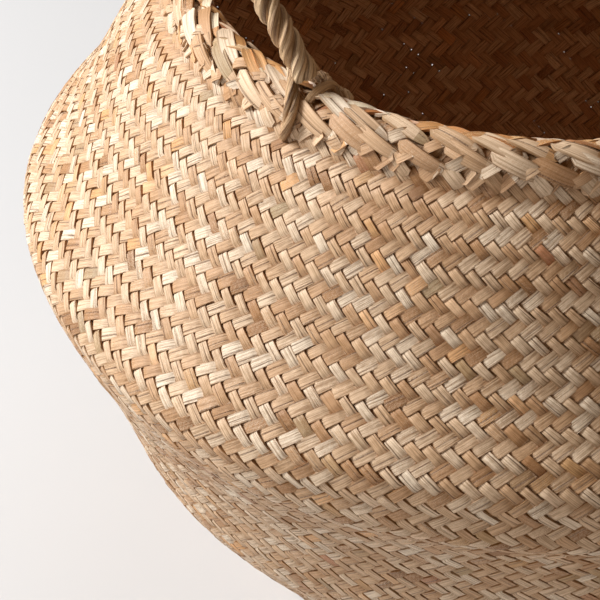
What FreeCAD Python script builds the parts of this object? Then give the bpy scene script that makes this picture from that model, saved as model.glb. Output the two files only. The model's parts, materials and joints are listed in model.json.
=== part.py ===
"""Seagrass belly basket: a woven base and a woven wall with a sharp fold at its waist, a braided
rim, and two rope handles that swing about the line through their feet.

Units are millimetres, +Z is up, and the origin is the middle of the underside of the base.
The wall is the closed shell that the interwoven strands fill, at its real thickness, in four
bands from the base up: lower_wall, waist_wall, then over the fold belly_wall and neck_wall.
The handles stand over +X and -X. Each node is written to parts/NODE.step.
"""
import FreeCAD, Part
import math
import os
from FreeCAD import Vector

# --- driving dimensions -------------------------------------------------------------------
WALL_T = 2.2            # two crossed strands
BASE_R = 80.5           # flat woven mat under the lower wall's turned-up edge
BASE_T = 2.4
FOLD_Z = 115.0          # height of the fold between the two walls
TURN_Z = 64.0           # the lower wall steepens here
BELLY_Z = 139.0         # the basket is widest here
LOWER_OUTLINE = ((84.0, 0), (96.5, 20), (113, 42), (129, 64), (136.5, 84), (143.5, 101), (151, FOLD_Z))
UPPER_OUTLINE = ((151, FOLD_Z), (156, 125), (160, 139), (148.5, 157), (138.5, 172.5), (130.5, 188),
                 (121.5, 203), (115.6, 208.8))

RIM_R = 109.0           # middle of the braid's section
RIM_Z = 214.0
RIM_TILT = 30.0         # the braid carries on the slope of the neck
BRAID_HIGH = 6.6        # half height of the braid's section, along the slope
BRAID_THICK = 5.0       # half thickness
CORE_R = 2.9            # strand bundle inside the braid
EDGE_R = 1.9            # twisted cord along the top edge
TURNED_BAND = (200.5, 207.0)    # heights between which the strand ends are folded over
TURNED_T = 1.4
GAP = 0.15              # between pieces that lie against each other

PLY_R = 2.2             # three plies make a rope 9.5 mm thick
PLY_SPREAD = 2.56       # from the rope's middle to each ply's middle
FOOT_ANGLE = 28.5       # each foot, either side of the handle's middle
ARCH_RISE = 40.0        # of the rope's middle over its feet
AXIS_Z = 227.8          # swing axis through both feet, high enough for the rope to clear the rim
REST_LEAN = 20.0        # the handles lean out a little where they are left
OUTER_LEG_TOP = -2.5    # how far up the braid the threaded ply stands, outside and inside
INNER_LEG_TOP = 4.0
TAIL_R = 1.9            # short tail of a ply, tucked along the rim beside each foot
TAIL_ANGLE = (4.0, 9.5)  # where a tail starts and ends, measured round the rim from its foot

Z_AXIS = Vector(0, 0, 1)
ORIGIN = Vector(0, 0, 0)


# --- helpers ------------------------------------------------------------------------------
def curve_through(points):
    """A smooth curve in the XZ plane through (radius, height) points."""
    curve = Part.BSplineCurve()
    curve.interpolate([Vector(r, 0, z) for r, z in points])
    return curve


def inner_side(curve, thickness, low, high, count=9):
    """Points one thickness inside a wall's outline, between two heights, bottom first."""
    points = []
    first, last = curve.FirstParameter, curve.LastParameter
    for i in range(count):
        t = first + (last - first) * i / (count - 1)
        along = curve.tangent(t)[0]
        p = curve.value(t) + Vector(-along.z, 0, along.x) * thickness
        points.append((p.x, p.z))
    points[0] = (points[0][0], low)
    points[-1] = (points[-1][0], high)
    return points


def shell(outline):
    """A wall of revolution with level ends, WALL_T thick, inside its outline."""
    outer = curve_through(outline)
    inner = curve_through(inner_side(outer, WALL_T, outline[0][1], outline[-1][1]))
    a, b = outer.StartPoint, outer.EndPoint
    c, d = inner.StartPoint, inner.EndPoint
    edges = [outer.toShape(), Part.makeLine(b, d), inner.toShape(), Part.makeLine(c, a)]
    face = Part.Face(Part.Wire(Part.__sortEdges__(edges)))
    return face.revolve(ORIGIN, Z_AXIS, 360)


def band(wall, low, high):
    """The part of a wall between two heights. Each band of the walls is nearly a plain cone."""
    return wall.common(Part.makeCylinder(2 * RIM_R, high - low, Vector(0, 0, low)))


def rim_place(out, up):
    """A point of the rim's section: out across the braid, up along the neck's slope."""
    tilt = math.radians(RIM_TILT)
    r = RIM_R + out * math.cos(tilt) - up * math.sin(tilt)
    return Vector(r, 0, RIM_Z + out * math.sin(tilt) + up * math.cos(tilt))


def rim_ring(centre, radius):
    """A round ring on the rim."""
    circle = Part.makeCircle(radius, centre, Vector(0, 1, 0))
    return Part.Face(Part.Wire(circle)).revolve(ORIGIN, Z_AXIS, 360)


def turned(shape, degrees):
    """A copy of the shape turned about the basket's axis."""
    copy = shape.copy()
    copy.rotate(ORIGIN, Z_AXIS, degrees)
    return copy


def rod(start, end, radius):
    """A round rod between two points."""
    return Part.makeCylinder(radius, start.distanceToPoint(end), start, end - start)


# --- the woven body -----------------------------------------------------------------------
def woven_base():
    return Part.makeCylinder(BASE_R, BASE_T)


def rim_braid():
    """The plait round the mouth: an oval ring, hollow where the core lies."""
    middle = rim_place(0, 0)
    oval = Part.Ellipse(rim_place(0, BRAID_HIGH), rim_place(BRAID_THICK, 0), middle)
    ring = Part.Face(Part.Wire(oval.toShape())).revolve(ORIGIN, Z_AXIS, 360)
    groove = rim_ring(edge_centre(), EDGE_R + GAP)
    return ring.cut(rim_ring(middle, CORE_R + GAP)).cut(groove)


def rim_core():
    return rim_ring(rim_place(0, 0), CORE_R)


def edge_centre():
    """Middle of the edge cord, bedded in the top of the braid."""
    return rim_place(-0.9, BRAID_HIGH - 1.0)


def rim_edge_cord():
    return rim_ring(edge_centre(), EDGE_R)


def rim_turned_ends():
    """The row of folded strand ends, a thin band on the neck under the braid."""
    outer = curve_through(UPPER_OUTLINE)
    low, high = TURNED_BAND
    near = []
    far = []
    for z in (low, (low + high) / 2, high):
        t = outer.parameter(outer.toShape().section(Part.Plane(Vector(0, 0, z), Z_AXIS).toShape())
                            .Vertexes[0].Point)
        along = outer.tangent(t)[0]
        out = Vector(along.z, 0, -along.x)
        p = outer.value(t)
        near.append(p + out * GAP)
        far.append(p + out * (GAP + TURNED_T))
    edges = [Part.makeLine(near[0], near[1]), Part.makeLine(near[1], near[2]),
             Part.makeLine(near[2], far[2]), Part.makeLine(far[2], far[1]),
             Part.makeLine(far[1], far[0]), Part.makeLine(far[0], near[0])]
    return Part.Face(Part.Wire(edges)).revolve(ORIGIN, Z_AXIS, 360)


# --- the handles, made over +X ------------------------------------------------------------
def foot_x():
    return RIM_R * math.cos(math.radians(FOOT_ANGLE))


def foot_y():
    return RIM_R * math.sin(math.radians(FOOT_ANGLE))


def handle_ply(number):
    """One of the three plies of the arch, laid side by side from foot to foot."""
    turn = math.radians(90 + 120 * number)
    aside = PLY_SPREAD * math.cos(turn)
    above = PLY_SPREAD * math.sin(turn)
    half = foot_y()
    radius = (half ** 2 + ARCH_RISE ** 2) / (2 * ARCH_RISE)
    centre = Vector(foot_x() + aside, 0, AXIS_Z + ARCH_RISE - radius)
    end = math.degrees(math.asin(half / radius))
    start = centre + Vector(0, -math.sin(math.radians(end)), math.cos(math.radians(end))) * (radius + above)
    along = Vector(0, math.cos(math.radians(end)), math.sin(math.radians(end)))
    section = Part.Face(Part.Wire(Part.makeCircle(PLY_R, start, along)))
    ply = section.revolve(centre, Vector(-1, 0, 0), 2 * end)
    ply.rotate(Vector(foot_x(), 0, AXIS_Z), Vector(0, 1, 0), REST_LEAN)
    return ply


def handle_loop(side):
    """The ply that is threaded under the rim at one foot: down outside, through the weave, up inside."""
    reach = BRAID_THICK + PLY_R + 2 * GAP
    drop = BRAID_HIGH + PLY_R + 2 * GAP - reach
    outer_low = rim_place(reach, -drop)
    inner_low = rim_place(-reach, -drop)
    section = Part.Face(Part.Wire(Part.makeCircle(PLY_R, outer_low, rim_place(0, 1) - rim_place(0, 0))))
    bend = section.revolve(rim_place(0, -drop), Vector(0, 1, 0), 180)
    outer_leg = rod(outer_low, rim_place(reach, OUTER_LEG_TOP), PLY_R)
    inner_leg = rod(inner_low, rim_place(-reach, INNER_LEG_TOP), PLY_R)
    return turned(outer_leg.fuse([bend, inner_leg]).removeSplitter(), side * FOOT_ANGLE)


def handle_tail(side):
    """A ply's cut tail, tucked along the inside of the rim away from the handle's middle."""
    centre = rim_place(-BRAID_THICK - TAIL_R - 2 * GAP, 1.5)
    start, end = TAIL_ANGLE
    section = Part.Face(Part.Wire(Part.makeCircle(TAIL_R, centre, Vector(0, 1, 0))))
    tail = section.revolve(ORIGIN, Z_AXIS, end - start)
    return turned(tail, FOOT_ANGLE + start if side > 0 else -FOOT_ANGLE - end)


# --- writing the nodes --------------------------------------------------------------------
def save(name, shape):
    if shape.ShapeType == "Shell":
        shape = Part.Solid(shape)
    if shape.Volume < 0:
        shape.reverse()
    print(f"{name:26s} {shape.Volume / 1000:8.2f} cm3  solids {len(shape.Solids)}  valid {shape.isValid()}")
    shape.exportStep(f"parts/{name}.step")


def main():
    os.makedirs("parts", exist_ok=True)
    save("woven_base", woven_base())
    lower, upper = shell(LOWER_OUTLINE), shell(UPPER_OUTLINE)
    save("lower_wall", band(lower, 0, TURN_Z))
    save("waist_wall", band(lower, TURN_Z, FOLD_Z))
    save("belly_wall", band(upper, FOLD_Z, BELLY_Z))
    save("neck_wall", band(upper, BELLY_Z, RIM_Z))
    save("rim_core", rim_core())
    save("rim_braid", rim_braid())
    save("rim_edge_cord", rim_edge_cord())
    save("rim_turned_ends", rim_turned_ends())
    for hand, turn in (("right", 0), ("left", 180)):
        for number in range(3):
            save(f"{hand}_handle_ply_{number + 1}", turned(handle_ply(number), turn))
        for end, side in (("front", -1), ("rear", 1)):
            # seen from +X the handle's front foot is at -Y; the left handle is turned half round
            place = side if hand == "right" else -side
            save(f"{hand}_handle_{end}_loop", turned(handle_loop(place), turn))
            save(f"{hand}_handle_{end}_tail", turned(handle_tail(place), turn))
    print(f"foot x {foot_x():.2f}  y {foot_y():.2f}")


main()
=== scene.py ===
"""The woven look of a seagrass belly basket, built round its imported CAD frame.

Every strand is real geometry: flat ribbons that pass over and under each other, two by two, from the
base over the fold at the waist to the neck, then the plaited rim and the two rope handles.
"""
import json
import math

import bpy
import numpy as np
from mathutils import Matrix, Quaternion, Vector
from mathutils.bvhtree import BVHTree


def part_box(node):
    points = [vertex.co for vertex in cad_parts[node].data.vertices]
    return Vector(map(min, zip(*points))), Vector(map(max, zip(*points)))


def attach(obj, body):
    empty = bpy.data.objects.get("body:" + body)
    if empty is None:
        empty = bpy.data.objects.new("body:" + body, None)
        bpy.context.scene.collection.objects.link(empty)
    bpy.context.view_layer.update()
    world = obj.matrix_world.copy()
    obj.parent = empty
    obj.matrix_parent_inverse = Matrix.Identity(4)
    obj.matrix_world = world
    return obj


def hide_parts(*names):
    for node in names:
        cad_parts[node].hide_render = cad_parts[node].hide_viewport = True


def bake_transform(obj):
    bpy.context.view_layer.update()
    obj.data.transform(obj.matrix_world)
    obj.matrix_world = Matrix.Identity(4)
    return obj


bl_info = {
    "name": "Seagrass Belly Basket",
    "version": (1, 0, 0),
    "blender": (4, 5, 0),
    "location": "View3D > Sidebar > Basket",
    "description": "Weaves a belly basket with a plaited rim and rope handles",
    "category": "Add Mesh",
}

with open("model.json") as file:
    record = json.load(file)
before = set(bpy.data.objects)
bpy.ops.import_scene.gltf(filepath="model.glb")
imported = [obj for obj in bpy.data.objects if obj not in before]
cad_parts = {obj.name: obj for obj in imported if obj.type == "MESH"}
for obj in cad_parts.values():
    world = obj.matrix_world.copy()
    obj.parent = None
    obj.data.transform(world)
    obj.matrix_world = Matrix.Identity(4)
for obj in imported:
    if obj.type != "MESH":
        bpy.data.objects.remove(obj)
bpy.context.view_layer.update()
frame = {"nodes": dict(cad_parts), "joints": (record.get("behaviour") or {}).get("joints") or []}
MM = 0.001
TAU = 2 * math.pi
CREASE = math.radians(50)
FOLD_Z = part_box("belly_wall")[0].z
NECK_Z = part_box("neck_wall")[1].z
BASE_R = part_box("woven_base")[1].x
BASE_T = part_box("woven_base")[1].z
WALL_T = 2.2 * MM           # two crossed strands
CORE_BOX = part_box("rim_core")
RIM_Z = (CORE_BOX[0].z + CORE_BOX[1].z) / 2
RIM_R = CORE_BOX[1].x - (CORE_BOX[1].z - CORE_BOX[0].z) / 2
RIM_TILT = math.radians(30)
RIM_HIGH = 6.6 * MM         # half the plait's height, up the slope of the neck
RIM_THICK = 5.0 * MM        # half its thickness
FOOT = 28.5                 # degrees from a handle's middle round to each of its feet
PLY_R = 2.2 * MM            # a ply of the CAD handle
MAT_UNDER = 2.5 * MM        # how far the mat reaches out under the wall
ARCH_RISE = 40 * MM
ARCH_SLOPE = math.radians(75)   # how steeply the arch stands at its feet
REST_LEAN = math.radians(20)
FOOT_IN = 2.4 * MM          # how much nearer the mouth a foot stands than the hinge's line
SWELL_R = 0.15              # the radius at which a swell has its full depth
ROLL_OUT = 3.6 * MM         # how much further out the wall rolls over the fold on one side
ROLL_UP = 9 * MM            # the height of that roll's middle over the fold
ROLL_HIGH = 5.5 * MM        # how far it fades out above and below that
ROLL_R = 0.156              # the wall's radius there
ROLL_TURN = -1.5            # where round the basket it is fullest, in radians
SENSOR = 36                 # the camera's, in millimetres


# --- nodes ----------------------------------------------------------------------------------
def add(tree, kind, inputs=(), **settings):
    """Adds a node with its settings, fills its inputs with values or links, and returns it."""
    node = tree.nodes.new(kind)
    for name, value in settings.items():
        setattr(node, name, value)
    for key, value in inputs.items() if isinstance(inputs, dict) else enumerate(inputs):
        if isinstance(value, bpy.types.Node):
            value = next(o for o in value.outputs if o.enabled)
        if isinstance(value, bpy.types.NodeSocket):
            tree.links.new(value, node.inputs[key])
        elif value is not None:
            node.inputs[key].default_value = value
    return node


def new_tree(name, sockets):
    """An empty geometry tree with named inputs, and its group input node."""
    tree = bpy.data.node_groups.new(name, "GeometryNodeTree")
    tree.interface.new_socket("Geometry", in_out="INPUT", socket_type="NodeSocketGeometry")
    tree.interface.new_socket("Geometry", in_out="OUTPUT", socket_type="NodeSocketGeometry")
    for socket, kind, value in sockets:
        item = tree.interface.new_socket(socket, in_out="INPUT", socket_type=f"NodeSocket{kind}")
        if value is not None:
            item.default_value = value
    return tree, tree.nodes.new("NodeGroupInput").outputs


def end_tree(tree, geometry, run, material):
    """Keeps in run what the materials read (across a strand, its row and its family), smooths the
    faces but for the pressed edges, and closes the tree with its material."""
    own = add(tree, "ShaderNodeCombineXYZ", run)
    told = add(tree, "GeometryNodeStoreNamedAttribute", {"Geometry": geometry, "Name": "run", "Value": own},
               domain="POINT", data_type="FLOAT_VECTOR")
    smooth = add(tree, "GeometryNodeSetShadeSmooth", {"Geometry": told})
    angle = add(tree, "GeometryNodeInputMeshEdgeAngle").outputs["Unsigned Angle"]
    corner = add(tree, "FunctionNodeCompare", {"A": angle, "B": CREASE}, operation="GREATER_THAN")
    crisp = add(tree, "GeometryNodeSetShadeSmooth",
                {"Geometry": smooth, "Selection": corner, "Shade Smooth": False}, domain="EDGE")
    real = add(tree, "GeometryNodeRealizeInstances", (crisp,))
    finished = add(tree, "GeometryNodeSetMaterial", {"Geometry": real, "Material": material})
    add(tree, "NodeGroupOutput", (finished,))


def grow(name, tree, wire, values):
    """Runs a tree on a wire of points and returns the result as a plain mesh object."""
    mesh = bpy.data.meshes.new(name)
    mesh.from_pydata(wire, [(i, i + 1) for i in range(len(wire) - 1)], [])
    source = bpy.data.objects.new(name, mesh)
    bpy.context.collection.objects.link(source)
    modifier = source.modifiers.new("Strands", "NODES")
    modifier.node_group = tree
    names = {i.name: i.identifier for i in tree.interface.items_tree if i.in_out == "INPUT"}
    for key, value in values.items():
        modifier[names[key]] = value
    depsgraph = bpy.context.evaluated_depsgraph_get()
    finished = bpy.data.meshes.new_from_object(source.evaluated_get(depsgraph))
    source.modifiers.remove(modifier)
    source.data = finished
    finished.name = name
    bpy.data.meshes.remove(mesh)
    return source


def template(tree, copies, first, segments, sides=6):
    """Copies of one closed ribbon, two units wide and one long, each knowing its own number.

    While it is laid, the attribute run holds a point's own coordinates on the ribbon: across (-1 to
    1), through its thickness (-1 to 1) and along (0 to 1). The attribute strand holds its number.
    With six sides the round section is squared into a flat one, with a middle line on either face.
    """
    ribbon = add(tree, "GeometryNodeMeshCylinder", {"Vertices": sides, "Side Segments": segments,
                 "Fill Segments": 1, "Radius": 1.0, "Depth": 1.0}, fill_type="NGON")
    if sides == 6:
        place = add(tree, "ShaderNodeVectorRotate", {"Vector": add(tree, "GeometryNodeInputPosition"),
                    "Angle": TAU / 4}, rotation_type="Z_AXIS")
        for operation, by in (("MULTIPLY", (2, 2, 1)), ("MINIMUM", (1, 1, 1)), ("MAXIMUM", (-1, -1, -1))):
            place = add(tree, "ShaderNodeVectorMath", (place, by), operation=operation)
        ribbon = add(tree, "GeometryNodeSetPosition", {"Geometry": ribbon, "Position": place})
    points = add(tree, "GeometryNodePoints", {"Count": copies})
    number = add(tree, "ShaderNodeMath", (add(tree, "GeometryNodeInputIndex"), first), operation="ADD")
    numbered = add(tree, "GeometryNodeStoreNamedAttribute",
                   {"Geometry": points, "Name": "strand", "Value": number},
                   domain="POINT", data_type="FLOAT")
    placed = add(tree, "GeometryNodeInstanceOnPoints", {"Points": numbered, "Instance": ribbon})
    real = add(tree, "GeometryNodeRealizeInstances", (placed,))
    own = add(tree, "ShaderNodeVectorMath", (add(tree, "GeometryNodeInputPosition"), (0, 0, 0.5)),
              operation="ADD")
    named = add(tree, "GeometryNodeStoreNamedAttribute",
                {"Geometry": real, "Name": "run", "Value": own}, domain="POINT", data_type="FLOAT_VECTOR")
    run = add(tree, "GeometryNodeInputNamedAttribute", ("run",), data_type="FLOAT_VECTOR")
    strand = add(tree, "GeometryNodeInputNamedAttribute", ("strand",), data_type="FLOAT")
    parts = add(tree, "ShaderNodeSeparateXYZ", (run,)).outputs
    return named, parts, strand


def moved(tree, place, side, aside, outward, above):
    """A place moved by aside in the side direction and by above in the outward one."""
    first = add(tree, "ShaderNodeVectorMath", {0: side, "Scale": aside}, operation="SCALE")
    second = add(tree, "ShaderNodeVectorMath", {0: outward, "Scale": above}, operation="SCALE")
    both = add(tree, "ShaderNodeVectorMath", (first, second), operation="ADD")
    return add(tree, "ShaderNodeVectorMath", (place, both), operation="ADD")


def heading(tree, uphill, up, aside):
    """Which way a strand runs that climbs by up while it goes aside round the basket, and which way
    is out of the basket."""
    climb = add(tree, "ShaderNodeVectorMath", {0: uphill, "Scale": up}, operation="SCALE")
    sideways = add(tree, "ShaderNodeCombineXYZ", {"Y": aside})
    travel = add(tree, "ShaderNodeVectorMath", (climb, sideways), operation="ADD")
    return travel, add(tree, "ShaderNodeVectorMath", ((0, 1, 0), uphill), operation="CROSS_PRODUCT")


def round_basket(tree, number, count):
    """The turn about the basket's axis of one place out of count evenly spaced ones."""
    turn = add(tree, "ShaderNodeMath", (number, TAU), operation="MULTIPLY")
    return add(tree, "ShaderNodeMath", (turn, count), operation="DIVIDE")


def over_and_under(tree, row, lean, slope):
    """Over two strands, under two: 1 where a strand lies on top and -1 where it lies beneath. The
    smaller the slope's share of the wave, the steeper the strand goes from one to the other."""
    phase = add(tree, "ShaderNodeMath", (row, TAU / 4, -TAU / 8), operation="MULTIPLY_ADD")
    wave = add(tree, "ShaderNodeMath", (phase,), operation="COSINE")
    wave = add(tree, "ShaderNodeMath", (wave, lean), operation="MULTIPLY")
    return add(tree, "ShaderNodeMapRange", {"Value": wave, "From Min": -slope, "From Max": slope,
               "To Min": -1.0, "To Max": 1.0})


def chances(tree, which, pace, detail):
    """Three smooth random values about zero. Pace is how fast they change by strand, row and family."""
    place = add(tree, "ShaderNodeVectorMath", (which, pace), operation="MULTIPLY")
    noise = add(tree, "ShaderNodeTexNoise", {"Vector": place, "Scale": 1.0, "Detail": detail})
    value = add(tree, "ShaderNodeVectorMath", (noise.outputs["Color"], (0.5, 0.5, 0.5)),
                operation="SUBTRACT")
    return add(tree, "ShaderNodeSeparateXYZ", (value,)).outputs


def lay(tree, geometry, place, travel, outward, aside, above, turn):
    """Moves the ribbon's points to their place: aside across its travel, above along the outward
    direction, all in the half plane through +X, and then turned about the basket's axis."""
    side = add(tree, "ShaderNodeVectorMath", (outward, travel), operation="CROSS_PRODUCT")
    side = add(tree, "ShaderNodeVectorMath", (side,), operation="NORMALIZE")
    here = moved(tree, place, side, aside, outward, above)
    there = add(tree, "ShaderNodeVectorRotate", {"Vector": here, "Angle": turn}, rotation_type="Z_AXIS")
    return add(tree, "GeometryNodeSetPosition", {"Geometry": geometry, "Position": there})


def woven_strands_tree():
    """Strands that climb a turned surface aslant and cross the other family two over, two under."""
    tree, given = new_tree("woven_strands", (
        ("Strands", "Int", 185), ("First", "Int", 0), ("Copies", "Int", 90), ("Rows", "Float", 48.0),
        ("First Row", "Float", 0.0), ("Lean", "Float", 1.0), ("Cover", "Float", 0.96),
        ("Half Thickness", "Float", 0.0004), ("Lift", "Float", 0.0005), ("Wander", "Float", 0.0003),
        ("Curl", "Float", 0.0002), ("Segments", "Int", 96), ("Material", "Material", None)))
    outline = add(tree, "GeometryNodeMeshToCurve", (given["Geometry"],))
    length = add(tree, "GeometryNodeCurveLength", (outline,))
    slope, unevenness, narrowing, crowning = 0.38, 0.75, 0.10, 0.12
    ribbons, (across, through, along), strand = template(
        tree, given["Copies"], given["First"], given["Segments"])
    on = add(tree, "GeometryNodeSampleCurve", {"Curves": outline, "Factor": along}, mode="FACTOR")
    place, uphill = on.outputs["Position"], on.outputs["Tangent"]
    radius = add(tree, "ShaderNodeSeparateXYZ", (place,))
    # how far the strand goes up and round in one row; round, it is half the way to its neighbour
    row = add(tree, "ShaderNodeMath", (along, given["Rows"], given["First Row"]), operation="MULTIPLY_ADD")
    up = add(tree, "ShaderNodeMath", (length, given["Rows"]), operation="DIVIDE")
    step = add(tree, "ShaderNodeMath", (radius, math.pi), operation="MULTIPLY")
    step = add(tree, "ShaderNodeMath", (step, given["Strands"]), operation="DIVIDE")
    round_step = add(tree, "ShaderNodeMath", (step, given["Lean"]), operation="MULTIPLY")
    travel, outward = heading(tree, uphill, up, round_step)
    slant = add(tree, "ShaderNodeVectorMath", (travel,), operation="LENGTH").outputs["Value"]
    # half the distance between the middles of two neighbours, which is half the room for a strand
    pitch = add(tree, "ShaderNodeMath", (step, up), operation="MULTIPLY")
    pitch = add(tree, "ShaderNodeMath", (pitch, slant), operation="DIVIDE")
    wave = over_and_under(tree, row, given["Lean"], slope)
    # no two strands, and no two stretches of one strand, are alike
    which = add(tree, "ShaderNodeCombineXYZ", {"X": strand, "Y": row, "Z": given["Lean"]})
    drift = chances(tree, which, (7.31, 0.16, 5.0), 1.0)
    quick = chances(tree, which, (3.17, 0.45, 9.0), 0.0)
    swell = add(tree, "ShaderNodeMath", (drift[0], unevenness, given["Cover"]), operation="MULTIPLY_ADD")
    squared = add(tree, "ShaderNodeMath", (wave, wave), operation="MULTIPLY")
    pinch = add(tree, "ShaderNodeMath", (squared, narrowing, 1 - narrowing), operation="MULTIPLY_ADD")
    width = add(tree, "ShaderNodeMath", (pitch, swell), operation="MULTIPLY")
    width = add(tree, "ShaderNodeMath", (width, pinch), operation="MULTIPLY")
    aside = add(tree, "ShaderNodeMath", (drift[1], given["Wander"]), operation="MULTIPLY")
    aside = add(tree, "ShaderNodeMath", (across, width, aside), operation="MULTIPLY_ADD")
    crown = add(tree, "ShaderNodeMath", (across, across), operation="MULTIPLY")
    crown = add(tree, "ShaderNodeMath", (crown, -crowning, 1.0), operation="MULTIPLY_ADD")
    thick = add(tree, "ShaderNodeMath", (through, given["Half Thickness"]), operation="MULTIPLY")
    thick = add(tree, "ShaderNodeMath", (thick, crown), operation="MULTIPLY")
    raised = add(tree, "ShaderNodeMath", (wave, given["Lift"], thick), operation="MULTIPLY_ADD")
    tip = add(tree, "ShaderNodeMath", (quick[0], given["Curl"]), operation="MULTIPLY")
    raised = add(tree, "ShaderNodeMath", (tip, across, raised), operation="MULTIPLY_ADD")
    loose = add(tree, "ShaderNodeMath", (quick[1], given["Curl"]), operation="MULTIPLY")
    above = add(tree, "ShaderNodeMath", (raised, loose), operation="ADD")
    # each row goes half a strand's place round the basket
    leaning = add(tree, "ShaderNodeMath", (row, given["Lean"]), operation="MULTIPLY")
    number = add(tree, "ShaderNodeMath", (leaning, 0.5, strand), operation="MULTIPLY_ADD")
    turn = round_basket(tree, number, given["Strands"])
    laid = lay(tree, ribbons, place, travel, outward, aside, above, turn)
    end_tree(tree, laid, (across, row, given["Lean"]), given["Material"])
    return tree


def woven_mat_tree():
    """One family of the flat mat: parallel strands, cut to a round, over two and under two."""
    tree, given = new_tree("woven_mat", (
        ("Copies", "Int", 48), ("Pitch", "Float", 0.0035), ("Radius", "Float", 0.08),
        ("Lean", "Float", 1.0), ("Cover", "Float", 0.96), ("Half Thickness", "Float", 0.0004),
        ("Lift", "Float", 0.0005), ("Height", "Float", 0.0012), ("Material", "Material", None)))
    ribbons, (across, through, along), strand = template(tree, given["Copies"], 0.5, 96)
    middle = add(tree, "ShaderNodeMath", (given["Copies"], -0.5), operation="MULTIPLY")
    number = add(tree, "ShaderNodeMath", (strand, middle), operation="ADD")
    offset = add(tree, "ShaderNodeMath", (number, given["Pitch"]), operation="MULTIPLY")
    ratio = add(tree, "ShaderNodeMath", (offset, given["Radius"]), operation="DIVIDE")
    ratio = add(tree, "ShaderNodeMath", (ratio, ratio), operation="MULTIPLY")
    chord = add(tree, "ShaderNodeMath", (1.0, ratio), operation="SUBTRACT")
    chord = add(tree, "ShaderNodeMath", (chord, 0.5), operation="POWER")
    chord = add(tree, "ShaderNodeMath", (chord, given["Radius"]), operation="MULTIPLY")
    centred = add(tree, "ShaderNodeMath", (along, 2.0, -1.0), operation="MULTIPLY_ADD")
    x = add(tree, "ShaderNodeMath", (centred, chord), operation="MULTIPLY")
    row = add(tree, "ShaderNodeMath", (x, given["Pitch"]), operation="DIVIDE")
    crossing = add(tree, "ShaderNodeMath", (number, given["Lean"], row), operation="MULTIPLY_ADD")
    wave = over_and_under(tree, crossing, given["Lean"], 0.72)
    width = add(tree, "ShaderNodeMath", (given["Pitch"], given["Cover"]), operation="MULTIPLY")
    width = add(tree, "ShaderNodeMath", (width, 0.5), operation="MULTIPLY")
    y = add(tree, "ShaderNodeMath", (across, width, offset), operation="MULTIPLY_ADD")
    thick = add(tree, "ShaderNodeMath", (through, given["Half Thickness"], given["Height"]),
                operation="MULTIPLY_ADD")
    z = add(tree, "ShaderNodeMath", (wave, given["Lift"], thick), operation="MULTIPLY_ADD")
    here = add(tree, "ShaderNodeCombineXYZ", (x, y, z))
    quarter = add(tree, "ShaderNodeMath", (given["Lean"], TAU / 8, TAU / 8), operation="MULTIPLY_ADD")
    there = add(tree, "ShaderNodeVectorRotate", {"Vector": here, "Angle": quarter}, rotation_type="Z_AXIS")
    laid = add(tree, "GeometryNodeSetPosition", {"Geometry": ribbons, "Position": there})
    end_tree(tree, laid, (across, row, given["Lean"]), given["Material"])
    return tree


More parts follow.
